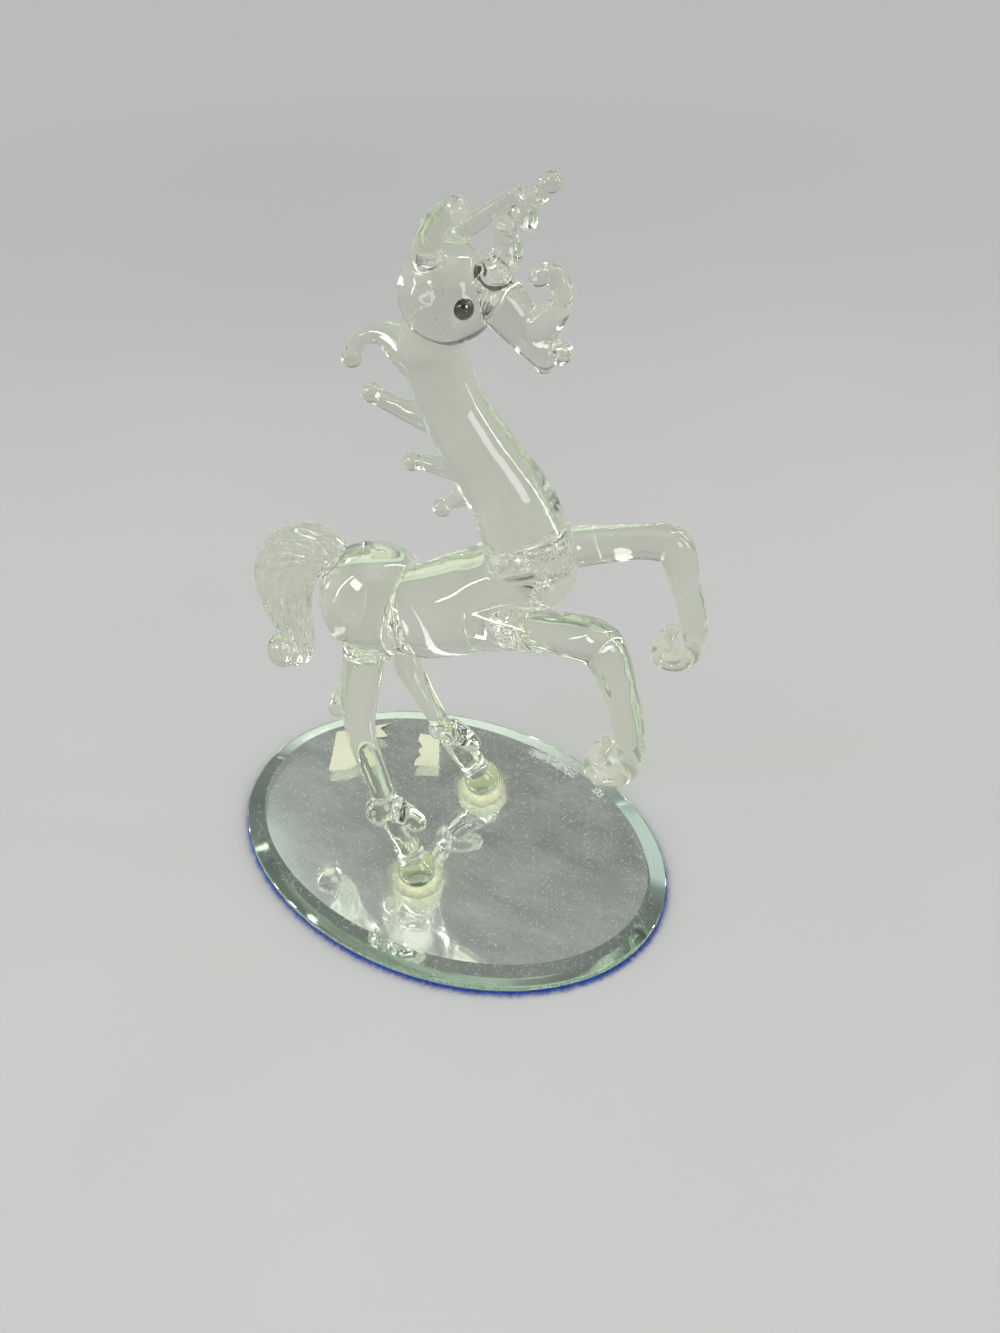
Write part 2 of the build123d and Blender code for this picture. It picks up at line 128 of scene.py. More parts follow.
# Felt fibres: tilt and sag are a mean and a spread
FIBRES = 9000
FIBRE_R = 0.03 * MM
FIBRE_LENGTH = 0.95 * MM
FIBRE_VARIETY = 0.42
FIBRE_LONGEST = 1.7
FIBRE_STEPS = 3
FIBRE_ROOT = 0.15 * MM
FIBRE_LOWEST = 0.1 * MM
FIBRE_HIGHEST = 0.05 * MM
FIBRE_CLEAR = 0.02 * MM
FIBRE_SPLAY = 0.7
FIBRE_TILT = (-0.15, 0.45)
FIBRE_SWAY = 0.5
FIBRE_SAG = (-0.5, 0.5)
FIBRE_BEND = 0.45
FIBRE_TAPER = 0.75
TUFT_STEP = math.radians(1.7)
TUFT = math.radians(0.55)

# Glue: a profile of reach and level, from the hoof out and back, and the clouding at each of its points
GLUE_SEGMENTS = 72
GLUE_PROFILE = (
    (0.3, 0.02), (1.0, 0.02), (0.98, 0.03), (0.88, 0.045),
    (0.7, 0.06), (0.45, 0.09), (0.2, 0.13), (0.0, 0.17),
)
GLUE_HAZE = (1.0, 0.5, 0.35, 0.45, 0.6, 0.7, 0.5, 0.15)
GLUE_LEAST = 0.02 * MM
GLUE_BITE = 0.08 * MM
GLUE_SEEDS = {"right": 0.0, "left": 3.0}
GLUE_WAVE = 1.3
GLUE_SPREAD = 0.88
GLUE_LOBES = 0.12
GLUE_RIPPLE = 0.05
GLUE_RIPPLE_WAVE = 3.1
GLUE_RISE = 0.86
GLUE_UNEVEN = 0.14
GLUE_UNEVEN_WAVE = 1.7
GLUE_UNEVEN_SHIFT = (5, 0, 0)
HOOF_CENTRE_HEIGHT = 3.9 * MM
HOOF_R = 4.2 * MM
HALO_R = 15.0 * MM
HALO_RAGGED = 7.0 * MM

# Labels: each ring has a level, as a share of the paper's thickness, and an inset
LABEL_RINGS = ((0.0, 0.35 * MM), (0.0, 0.0), (1.0, 0.0), (1.0, 0.55 * MM))
LABEL_STEP = 0.35 * MM
LABEL_LIFT = 0.03 * MM
LABEL_TEAR = 0.22 * MM
TEAR_COARSE = 1500
TEAR_FINE = 4200
TEAR_FINE_SHARE = 0.6
SAME_LEVEL = 1e-6
SAME_PLACE_DIGITS = 7

# Lint
LINT_HAIRS = 2600
LINT_LENGTH = 0.75 * MM
LINT_VARIETY = 0.45
LINT_CURL = 0.75
LINT_REACH = 0.95
LINT_STEPS = 5
LINT_R = 0.022 * MM
LINT_TAPER = 0.5
LINT_LIFT = 0.02 * MM
LINT_SECTION = ((-1, 0.1), (1, 0.1), (0, 2.0))

# Room: colour by height, a pale backdrop all round under a dark dome with a bright opening
BACKDROP = (0.49, 0.50, 0.50)
ROOM = (
    (0.0, BACKDROP),
    (0.30, (0.46, 0.47, 0.47)),
    (0.42, (0.10, 0.11, 0.105)),
    (0.90, (0.09, 0.10, 0.095)),
    (0.96, (1.10, 1.10, 1.05)),
)

# Floor, and the distances at which it starts to turn into the backdrop and has done so
FLOOR_HALF = 4.0
FLOOR_CELLS = 24
FLOOR_DROP = 0.2 * MM
FLOOR_CASTS = ((0.57, 0.57, 0.565), (0.60, 0.598, 0.59))
FLOOR_NEAR = 0.15
FLOOR_FAR = 0.60

# Soft window, high up behind the figure
WINDOW_WAY = (-0.51, 0.29, 0.81)
WINDOW = (
    (0.0, (0, 0, 0)),
    (0.955, (0, 0, 0)),
    (0.978, (0.08, 0.09, 0.09)),
    (0.984, (0.14, 0.16, 0.16)),
    (0.992, (0.56, 0.64, 0.63)),
    (1.0, (0.62, 0.70, 0.69)),
)

# Soft lamps: name, place, width, height, watts and colour
SOFT_AIM = (0, 0, 0.06)
SOFT_LAMPS = (
    ("key", (-0.46, -0.68, 0.88), 0.45, 0.3, 5.2, (1, 0.98, 0.94)),
    ("fill", (0.9, -0.25, 0.65), 0.4, 0.4, 3.0, (0.95, 0.98, 1)),
)

# Tall narrow lamps, which draw bright lines along the rods
STRIP_AIM = (0, 0, 0.08)
STRIP_WIDTH = 0.035
STRIP_HEIGHT = 0.7
STRIP_WATTS = 1.6
STRIPS = (
    ("strip_back", (0.25, 0.55, 0.75)),
    ("strip_left", (-0.62, -0.38, 0.42)),
    ("strip_right", (0.70, 0.28, 0.42)),
)

# Photographed view
CAMERA_AT = (0.0711, -0.1250, 0.1981)
CAMERA_HEADING = 115.2
CAMERA_PITCH = 44.68
FOCAL_PIXELS = 1050
IMAGE_HEIGHT = 1333
SENSOR = 36.0
CLIP_START = 0.005

# Bounces, enough for light to cross many walls of glass
BOUNCES = 24


# Mesh helpers


def build_mesh(name, points, faces, smooth=True):
    """A mesh with all its faces smooth or all flat."""
    mesh = bpy.data.meshes.new(name)
    mesh.from_pydata(points, [], faces)
    mesh.polygons.foreach_set("use_smooth", np.full(len(mesh.polygons), smooth))
    return mesh


def place(name, mesh, node, slot, *materials):
    """Put a finished mesh into the scene, for a CAD node where it stands for one."""
    for material in materials:
        mesh.materials.append(material)
    piece = bpy.data.objects.new(name, mesh)
    bpy.context.collection.objects.link(piece)
    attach(piece, "root")
    if node:
        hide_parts(node)


def triangles(name):
    """Points and triangles of a CAD node."""
    mesh = NODES[name].data
    mesh.calc_loop_triangles()
    points = np.empty(3 * len(mesh.vertices))
    mesh.vertices.foreach_get("co", points)
    corners = np.empty(3 * len(mesh.loop_triangles), dtype=np.int64)
    mesh.loop_triangles.foreach_get("vertices", corners)
    return points.reshape(-1, 3), corners.reshape(-1, 3)


def oval(half_x, half_y, z, segments):
    """Points round an oval at one height."""
    turn = np.arange(segments) * 2 * math.pi / segments
    return np.stack([half_x * np.cos(turn), half_y * np.sin(turn), np.full(segments, z)], axis=1)


def tube_faces(first, steps, sides):
    """Side faces of a tube of rings, numbered from the tube's first point."""
    faces = []
    for step in range(steps):
        for k in range(sides):
            a = first + sides * step + k
            b = first + sides * step + (k + 1) % sides
            faces.append((a, b, b + sides, a + sides))
    return faces


def skin_rings(rings):
    """Points and faces of rings of equal count, closed by a face at each end."""
    n = len(rings[0])
    last = (len(rings) - 1) * n
    faces = [tuple(range(n))[::-1]]
    faces += tube_faces(0, len(rings) - 1, n)
    faces.append(tuple(range(last, last + n)))
    return np.concatenate(rings), faces


# Materials


def rgba(colour):
    """A grey or a colour, with full alpha."""
    if isinstance(colour, (int, float)):
        return (colour,) * 3 + (1,)
    return tuple(colour) + (1,)


def set_stops(ramp, stops):
    """Fill a colour ramp; each stop is a place and a grey or a colour."""
    elements = ramp.color_ramp.elements
    while len(elements) < len(stops):
        elements.new(0.5)
    for element, (place_at, colour) in zip(elements, stops):
        element.position = place_at
        element.color = rgba(colour)


class Tree:
    """A material's nodes, made one at a time and wired by name."""

    def __init__(self, name):
        self.material = bpy.data.materials.new(name)
        self.material.use_nodes = True
        self.nodes = self.material.node_tree.nodes
        self.links = self.material.node_tree.links
        self.shader = self.nodes["Principled BSDF"]
        self.output = self.nodes["Material Output"]
        self.object = self.add("ShaderNodeTexCoord").outputs["Object"]

    def add(self, kind, **settings):
        """A new node with its settings."""
        node = self.nodes.new(kind)
        for key, value in settings.items():
            setattr(node, key, value)
        return node

    def set(self, **values):
        """Constants on the shader's own sockets."""
        for key, value in values.items():
            self.shader.inputs[key.replace("_", " ")].default_value = value

    def drive(self, socket, value):
        """Wire a value into one of the shader's sockets."""
        self.links.new(value, self.shader.inputs[socket])

    def noise(self, scale, detail=3.0, stretch=(1, 1, 1), roughness=0.5):
        """Noise value over the piece's own coordinates, in metres."""
        mapping = self.add("ShaderNodeMapping")
        mapping.inputs["Scale"].default_value = stretch
        self.links.new(self.object, mapping.inputs["Vector"])
        texture = self.add("ShaderNodeTexNoise")
        texture.inputs["Scale"].default_value = scale
        texture.inputs["Detail"].default_value = detail
        texture.inputs["Roughness"].default_value = roughness
        self.links.new(mapping.outputs["Vector"], texture.inputs["Vector"])
        return texture.outputs["Fac"]

    def ramp(self, value, *stops):
        """Colours or greys over a value; each stop is a place and a colour."""
        node = self.add("ShaderNodeValToRGB")
        set_stops(node, stops)
        self.links.new(value, node.inputs["Fac"])
        return node.outputs["Color"]

    def math(self, operation, a, b):
        """A sum over two values or numbers."""
        node = self.add("ShaderNodeMath", operation=operation)
        for socket, value in zip(node.inputs, (a, b)):
            if isinstance(value, (int, float)):
                socket.default_value = value
            else:
                self.links.new(value, socket)
        return node.outputs["Value"]

    def mix(self, factor, a, b):
        """Colour a where factor is 0 and b where it is 1."""
        node = self.add("ShaderNodeMix", data_type="RGBA")
        self.links.new(factor, node.inputs[0])
        for index, value in ((6, a), (7, b)):
            if isinstance(value, tuple):
                node.inputs[index].default_value = rgba(value)
            else:
                self.links.new(value, node.inputs[index])
        return node.outputs[2]

    def split(self, vector):
        """The X, Y and Z of a vector, by name."""
        node = self.add("ShaderNodeSeparateXYZ")
        self.links.new(vector, node.inputs["Vector"])
        return node.outputs

    def upward(self):
        """1 on faces that look up and 0 on the others."""
        geometry = self.add("ShaderNodeNewGeometry")
        return self.math("GREATER_THAN", self.split(geometry.outputs["Normal"])["Z"], 0.5)

    def bump(self, height, strength, distance):
        """Fine relief of the surface."""
        node = self.add("ShaderNodeBump")
        node.inputs["Strength"].default_value = strength
        node.inputs["Distance"].default_value = distance
        self.links.new(height, node.inputs["Height"])
        self.drive("Normal", node.outputs["Normal"])

    def blend(self, factor, other):
        """Turn the surface into another shader where factor is 1."""
        node = self.add("ShaderNodeMixShader")
        self.links.new(factor, node.inputs["Fac"])
        self.links.new(self.shader.outputs["BSDF"], node.inputs[1])
        self.links.new(other, node.inputs[2])
        self.links.new(node.outputs["Shader"], self.output.inputs["Surface"])

    def pass_light(self, tint):
        """Let lamp light and bounced light through the glass, a little tinted."""
        path = self.add("ShaderNodeLightPath")
        either = self.math("MAXIMUM", path.outputs["Is Shadow Ray"], path.outputs["Is Diffuse Ray"])
        clear = self.add("ShaderNodeBsdfTransparent")
        clear.inputs["Color"].default_value = rgba(tint)
        self.blend(either, clear.outputs["BSDF"])

    def fade_to_backdrop(self):
        """Turn a far surface into the backdrop's colour, for what is seen and mirrored only."""
        away = self.add("ShaderNodeVectorMath", operation="LENGTH")
        self.links.new(self.object, away.inputs[0])
        far = self.add("ShaderNodeMapRange", interpolation_type="SMOOTHSTEP")
        far.inputs["From Min"].default_value = FLOOR_NEAR
        far.inputs["From Max"].default_value = FLOOR_FAR
        self.links.new(away.outputs["Value"], far.inputs["Value"])
        path = self.add("ShaderNodeLightPath")
        seen = self.math("MAXIMUM", path.outputs["Is Camera Ray"], path.outputs["Is Glossy Ray"])
        seen = self.math("MAXIMUM", seen, path.outputs["Is Transmission Ray"])
        glow = self.add("ShaderNodeEmission")
        glow.inputs["Color"].default_value = rgba(BACKDROP)
        self.blend(self.math("MULTIPLY", far.outputs["Result"], seen), glow.outputs["Emission"])


def clear_glass(name, casts=CLEAR_CASTS, waves=(1, 1, 1), relief=0.1, painted_glow=0.0):
    """Fire-polished clear glass between two casts of colour; waves stretches its surface waves, and the
    last argument turns that share of the glass milky, which paints a glow into it.
    """
    tree = Tree(name)
    tree.drive("Base Color", tree.ramp(tree.noise(90, 2.0), (0.3, casts[0]), (0.7, casts[1])))
    tree.drive("Roughness", tree.ramp(tree.noise(400, 2.0), (0.35, 0.0), (0.75, 0.035)))
    tree.set(IOR=GLASS_IOR, Transmission_Weight=1.0 - painted_glow)
    tree.bump(tree.noise(260, 2.0, waves), relief, 0.2 * MM)
    tree.pass_light((0.93, 0.94, 0.90))
    return tree.material


def black_glass():
    """Black glass bead with a greenish sheen."""
    tree = Tree("black_glass_bead")
    dark = tree.ramp(tree.noise(900, 2.0), (0.3, (0.004, 0.006, 0.005)), (0.8, (0.02, 0.035, 0.028)))
    tree.drive("Base Color", dark)
    tree.drive("Roughness", tree.ramp(tree.noise(1500, 2.0), (0.3, 0.04), (0.8, 0.12)))
    tree.set(IOR=GLASS_IOR, Specular_IOR_Level=0.8)
    tree.set(Coat_Weight=1.0, Coat_IOR=1.6, Coat_Roughness=0.02)
    return tree.material


def settled_dust(tree):
    """Specks that lie in drifts and a wiped film, thicker towards the near side."""
    cells = tree.add("ShaderNodeTexVoronoi", feature="F1")
    cells.inputs["Scale"].default_value = 620
    tree.links.new(tree.object, cells.inputs["Vector"])
    size = tree.ramp(cells.outputs["Color"], (0.3, 0.0), (1.0, 0.10))
    speck = tree.math("LESS_THAN", cells.outputs["Distance"], size)
    drift = tree.ramp(tree.noise(38, 3.0), (0.38, 0.25), (0.6, 1.0))
    film = tree.ramp(tree.noise(70, 6.0, (1, 2.2, 1), 0.65), (0.3, 0.16), (0.75, 0.34))
    nearness = tree.math("MULTIPLY", tree.split(tree.object)["Y"], NEAR_DUST / MM)
    film = tree.math("ADD", film, tree.math("MAXIMUM", nearness, 0.0))
    return tree.math("MAXIMUM", tree.math("MULTIPLY", speck, drift), film)


def glue_halo(tree):
    """Ragged clouding and yellowing of the glass round the glued hooves."""
    ragged = tree.math("MULTIPLY", tree.noise(240, 4.0), HALO_RAGGED)
    cloud = 0.0
    yellow = 0.0
    for side in ("right", "left"):
        low, high = (Vector(corner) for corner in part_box("hind_hoof_" + side))
        away = tree.add("ShaderNodeVectorMath", operation="DISTANCE")
        away.inputs[1].default_value = ((low.x + high.x) / 2, (low.y + high.y) / 2, low.z)
        tree.links.new(tree.object, away.inputs[0])
        reach = tree.math("DIVIDE", tree.math("ADD", away.outputs["Value"], ragged), HALO_R)
        cloud = tree.math("MAXIMUM", cloud, tree.ramp(reach, (0.45, 0.58), (0.9, 0.0)))
        yellow = tree.math("MAXIMUM", yellow, tree.ramp(reach, (0.55, 1.0), (1.0, 0.0)))
    return cloud, yellow


def plate_glass(name, tint, dusty):
    """Polished plate glass with settled dust, wiped smears and a halo round the glue."""
    tree = Tree(name)
    cloud, yellow = glue_halo(tree)
    settled = tree.math("MAXIMUM", settled_dust(tree), cloud)
    dust = tree.math("MULTIPLY", tree.math("MULTIPLY", settled, tree.upward()), dusty)
    dust_colour = tree.mix(yellow, (0.86, 0.88, 0.82), (0.93, 0.94, 0.62))
    tree.drive("Base Color", tree.mix(dust, tint, dust_colour))
    tree.drive("Roughness", tree.ramp(tree.noise(60, 5.0, (1, 3.5, 1)), (0.4, 0.0), (0.8, 0.05)))
    tree.drive("Transmission Weight", tree.math("SUBTRACT", 1.0, dust))
    tree.set(IOR=PLATE_IOR)
    tree.pass_light((0.95, 0.98, 0.965))
    return tree.material


def plate_edge():
    """Ground glass edge, green from the depth of glass behind it."""
    tree = Tree("plate_glass_ground_edge")
    grind = tree.noise(900, 3.0, (1, 1, 0.15))
    tree.drive("Base Color", tree.ramp(grind, (0.3, (0.40, 0.66, 0.42)), (0.7, (0.62, 0.85, 0.62))))
    tree.drive("Roughness", tree.ramp(grind, (0.3, 0.18), (0.7, 0.38)))
    tree.set(IOR=PLATE_IOR, Transmission_Weight=0.5)
    tree.bump(grind, 0.25, 0.05 * MM)
    tree.pass_light((0.7, 0.85, 0.78))
    return tree.material


def silvering():
    """Mirror silver on top, dull grey paint on the sides and underneath."""
    tree = Tree("silvering_on_glass")
    silver = tree.upward()
    age = tree.ramp(tree.noise(55, 4.0), (0.3, (0.80, 0.83, 0.80)), (0.7, (0.90, 0.91, 0.89)))
    paint = tree.ramp(tree.noise(500, 2.0), (0.3, (0.16, 0.15, 0.14)), (0.7, (0.28, 0.26, 0.24)))
    tree.drive("Base Color", tree.mix(silver, paint, age))
    tree.drive("Metallic", silver)
    tree.drive("Roughness", tree.math("SUBTRACT", 0.6, tree.math("MULTIPLY", silver, 0.57)))
    return tree.material


def felt():
    """Royal-blue napped wool."""
    tree = Tree("felt_royal_blue")
    nap = tree.noise(1400, 4.0)
    tree.drive("Base Color", tree.ramp(nap, (0.25, (0.012, 0.05, 0.42)), (0.75, (0.05, 0.19, 0.90))))
    tree.drive("Roughness", tree.ramp(nap, (0.2, 0.85), (0.8, 1.0)))
    tree.set(Sheen_Weight=0.45, Sheen_Roughness=0.5, Sheen_Tint=(0.25, 0.4, 1.0, 1))
    tree.set(Specular_IOR_Level=0.15)
    tree.bump(nap, 0.7, 0.12 * MM)
    return tree.material


def glue():
    """Set clear glue that has yellowed and clouded."""
    tree = Tree("glue_yellowed")
    cloud = tree.noise(420, 3.0)
    haze = tree.add("ShaderNodeAttribute", attribute_name="haze").outputs["Fac"]
    cream = tree.ramp(cloud, (0.25, (0.88, 0.91, 0.54)), (0.75, (0.95, 0.97, 0.72)))
    tree.drive("Base Color", tree.mix(haze, (0.90, 0.95, 0.90), cream))
    tree.drive("Roughness", tree.ramp(cloud, (0.3, 0.10), (0.8, 0.30)))
    clouding = tree.math("MULTIPLY", haze, tree.ramp(tree.noise(700, 2.0), (0.3, 0.5), (0.75, 0.8)))
    tree.drive("Transmission Weight", tree.math("SUBTRACT", 1.0, clouding))
    tree.set(IOR=GLUE_IOR)
    tree.bump(tree.noise(600, 2.0), 0.35, 0.15 * MM)
    tree.pass_light((0.97, 0.95, 0.86))
    return tree.material


def paper():
    """Bare sticker paper, yellowed, with fibres and faint stains."""
    tree = Tree("paper_yellowed")
    fibre = tree.noise(2200, 4.0, (1, 0.35, 1))
    stain = tree.ramp(tree.noise(140, 3.0), (0.35, (0.70, 0.71, 0.50)), (0.7, (0.80, 0.82, 0.65)))
    tree.drive("Base Color", tree.mix(tree.ramp(fibre, (0.45, 0.0), (0.8, 0.4)), stain, (0.88, 0.89, 0.78)))
    tree.drive("Roughness", tree.ramp(fibre, (0.2, 0.8), (0.8, 0.95)))
    tree.set(Specular_IOR_Level=0.25)
    tree.bump(fibre, 0.5, 0.05 * MM)
    return tree.material


def lint_fibre():
    """Pale, dull textile fibre."""
    tree = Tree("lint_fibre")
    pale = tree.ramp(tree.noise(700, 2.0), (0.3, (0.80, 0.80, 0.77)), (0.7, (0.95, 0.95, 0.93)))
    tree.drive("Base Color", pale)
    tree.drive("Roughness", tree.ramp(tree.noise(900, 2.0), (0.3, 0.7), (0.7, 0.95)))
    tree.set(Specular_IOR_Level=0.2)
    return tree.material


def pale_floor():
    """Matt floor with faint clouds of tone."""
    tree = Tree("floor_pale")
    tone = tree.ramp(tree.noise(6, 4.0), (0.3, FLOOR_CASTS[0]), (0.7, FLOOR_CASTS[1]))
    tree.drive("Base Color", tone)
    tree.drive("Roughness", tree.ramp(tree.noise(40, 3.0), (0.3, 0.75), (0.7, 0.9)))
    tree.set(Specular_IOR_Level=0.2)
    tree.fade_to_backdrop()
    return tree.material


# Glass


def slot_nodes(slot):
    """Names of the CAD nodes that have a material slot."""
    return [s["node"] for s in frame["record"]["subparts"] if s["material_slot"] == slot]


def glass_sources(names, eyes):
    """Points and triangles of all the glass, and the number of the piece that each triangle goes to."""
    points, faces, owner = [], [], []
    start = 0
    for name in names + eyes:
        node_points, node_faces = triangles(name)
        points.append(node_points)
        faces.append(node_faces + start)
        owner += [names.index("head" if name in eyes else name)] * len(node_faces)
        start += len(node_points)
    return np.concatenate(points), np.concatenate(faces), owner


def melt(points, faces):
    """One closed skin round all the solids, as a mesh of small quads."""
    mesh = bpy.data.meshes.new("melt")
    mesh.from_pydata(points, [], faces)
    source = bpy.data.objects.new("melt", mesh)
    bpy.context.collection.objects.link(source)
    remesh = source.modifiers.new("melt", "REMESH")
    remesh.mode = "VOXEL"
    remesh.voxel_size = VOXEL
    skin = bpy.data.meshes.new_from_object(source.evaluated_get(bpy.context.evaluated_depsgraph_get()))
    bpy.data.objects.remove(source)
    bpy.data.meshes.remove(mesh)
    return skin


def neighbour_mean(values, edges, count):
    """Mean of each point's neighbours."""
    ends = np.concatenate((edges[:, 0], edges[:, 1]))
    others = np.concatenate((edges[:, 1], edges[:, 0]))
    sums = [np.bincount(ends, values[others, k], len(values)) for k in range(3)]
    return np.stack(sums, axis=1) / count[:, None]


def relax(points, edges, count, pairs):
    """Smooth the skin without shrinking it: each push in is followed by a push out."""
    for _ in range(pairs):
        for share in (PUSH_IN, PUSH_OUT):
            points = points + share * (neighbour_mean(points, edges, count) - points)
    return points


def fused_skin(names, eyes):
    """Melt the glass: points, normals and quads of its skin, and the number of each quad's piece."""
    source_points, source_faces, owner = glass_sources(names, eyes)
    skin = melt(source_points, source_faces)
    points = np.empty(3 * len(skin.vertices))
    skin.vertices.foreach_get("co", points)
    points = points.reshape(-1, 3)
    edges = np.empty(2 * len(skin.edges), dtype=np.int64)
    skin.edges.foreach_get("vertices", edges)
    edges = edges.reshape(-1, 2)
    tree = BVHTree.FromPolygons(source_points.tolist(), source_faces.tolist())
    quads = [tuple(polygon.vertices) for polygon in skin.polygons]
    label = [owner[tree.find_nearest(polygon.center)[2]] for polygon in skin.polygons]

    tail = names.index(RIDGED)
    ridged = sorted({v for quad, of in zip(quads, label) if of == tail for v in quad})
    count = np.maximum(np.bincount(edges.ravel(), minlength=len(points)), 1)
    points = relax(points, edges, count, RIDGED_PAIRS)
    crisp = points[ridged]
    points = relax(points, edges, count, RELAX_PAIRS - RIDGED_PAIRS)
    points[ridged] = crisp
    mirror_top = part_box("mirror_plate")[1][2]
    points[:, 2] = np.maximum(points[:, 2], mirror_top + SKIN_LIFT)

    skin.vertices.foreach_set("co", points.ravel())
    skin.update()
    normals = np.empty(3 * len(skin.vertices))
    skin.vertex_normals.foreach_get("vector", normals)
    normals = normals.reshape(-1, 3)
    for _ in range(NORMAL_PASSES):
        normals = normals + neighbour_mean(normals, edges, count)
        normals /= np.linalg.norm(normals, axis=1)[:, None]
    bpy.data.meshes.remove(skin)
    return points, normals, quads, label


def bubbles(middle, radius):
    """Bubbles trapped in a ball of glass: points, faces and normals of small shells that face inwards."""
    points, faces, normals = [], [], []
    for _ in range(BUBBLES):
        offset = np.array(BUBBLE_AT) + BUBBLE_SPREAD * rng.normal(size=3)
        centre = middle + radius * offset * min(1, BUBBLE_LIMIT / np.linalg.norm(offset))
        size = BUBBLE_R * rng.lognormal(0, BUBBLE_VARIETY)
        rings = []
        for k in range(1, BUBBLE_SIDES):
            tilt = math.pi * k / BUBBLE_SIDES
            rings.append(oval(math.sin(tilt), math.sin(tilt), math.cos(tilt), BUBBLE_SIDES))
        ways, shell = skin_rings(rings)
        faces += [tuple(len(points) + v for v in face) for face in shell]
        points += list(centre + size * ways)
        normals += list(-ways)
    return points, faces, normals


def glass_pieces(names, eyes):
    """Melt all clear glass, then cut the skin into a piece per CAD node."""
    points, normals, quads, label = fused_skin(names, eyes)
    gathered = clear_glass("clear_glass_gathered")
    drawn = clear_glass("clear_glass_drawn", waves=DRAWN_WAVES, relief=DRAWN_RELIEF)
    thick = clear_glass("clear_glass_thick", casts=THICK_CASTS)
    # The rolled hooves get a painted glow: part milky cream glass in place of the light their rolls gather
    rolled_painted_glow = clear_glass("clear_glass_rolled_painted_glow", casts=ROLLED_TINT_AND_GLOW_CASTS, painted_glow=ROLLED_PAINTED_GLOW)
    finish = dict.fromkeys(UPRIGHT_RODS, drawn)
    finish |= dict.fromkeys(STANDING_HOOVES, thick)
    finish |= dict.fromkeys(ROLLED_HOOVES, rolled_painted_glow)
    for i, name in enumerate(names):
        own = [quad for quad, of in zip(quads, label) if of == i]
        used = sorted({v for quad in own for v in quad})
        order = {v: k for k, v in enumerate(used)}
        corners = points[used]
        facing = normals[used]
        faces = [tuple(order[v] for v in quad) for quad in own]
        if name == "head":
            low, high = (np.array(corner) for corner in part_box(name))
            more_corners, more_faces, more_facing = bubbles((low + high) / 2, (high - low)[0] / 2)
            faces += [tuple(len(corners) + v for v in face) for face in more_faces]
            corners = np.concatenate((corners, more_corners))
            facing = np.concatenate((facing, more_facing))
        mesh = build_mesh(name + "_fused", corners, faces)
        mesh.normals_split_custom_set_from_vertices(facing.tolist())
        place(name + "_fused", mesh, name, "clear_glass", finish.get(name, gathered))


def eye_beads(eyes):
    """Black beads, made a little smaller and cut flat on the side inside the head."""
    black = black_glass()
    for name in eyes:
        bead, faces = triangles(name)
        middle = np.mean(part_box(name), axis=0)
        look = middle - np.mean(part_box("head"), axis=0)
        look /= np.linalg.norm(look)
        bead = middle + EYE_SHRINK * (bead - middle)
        outward = (bead - middle) @ look
        sunk = np.maximum(outward.max() - EYE_DEPTH - outward, 0)
        bead += EYE_FLATTEN * sunk[:, None] * look
        mesh = build_mesh(name + "_bead", bead, faces)
        place(name + "_bead", mesh, name, "black_glass", black)


# Base


def mirror():
    """The bevelled plate over its silvered back."""
    low, high = (np.array(corner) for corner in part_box("mirror_plate"))
    half_x, half_y = (high - low)[:2] / 2
    edge_top = high[2] - BEVEL_RISE
    rings = [
        oval(half_x - ARRIS, half_y - ARRIS, low[2] - SILVER_SINK, PLATE_SEGMENTS),
        oval(half_x, half_y, low[2] + ARRIS, PLATE_SEGMENTS),
        oval(half_x, half_y, edge_top - ARRIS, PLATE_SEGMENTS),
        oval(half_x - ARRIS, half_y - ARRIS, edge_top, PLATE_SEGMENTS),
        oval(half_x - BEVEL_W, half_y - BEVEL_W, high[2], PLATE_SEGMENTS),
    ]
    points, faces = skin_rings(rings)
    mesh = build_mesh("mirror_plate_bevelled", points, faces)
    for ring, index in ((1, 1), (2, 2), (3, 2)):
        for polygon in mesh.polygons[1 + ring * PLATE_SEGMENTS:1 + (ring + 1) * PLATE_SEGMENTS]:
            polygon.material_index = index
    sharp = mesh.attributes.new("sharp_edge", "BOOLEAN", "EDGE")
    ends = np.empty(2 * len(mesh.edges), dtype=np.int64)
    mesh.edges.foreach_get("vertices", ends)
    ring_of = ends.reshape(-1, 2) // PLATE_SEGMENTS
    sharp.data.foreach_set("value", ring_of[:, 0] == ring_of[:, 1])
    glasses = (
        plate_glass("plate_glass_polished", PLATE_TINT, PLATE_DUST),
        plate_edge(),
        plate_glass("plate_glass_bevel", BEVEL_TINT, BEVEL_DUST),
    )
    place("mirror_plate_bevelled", mesh, "mirror_plate", "plate_glass", *glasses)
    backing = NODES["mirror_backing"]
    backing.data.materials.clear()
    backing.data.materials.append(silvering())


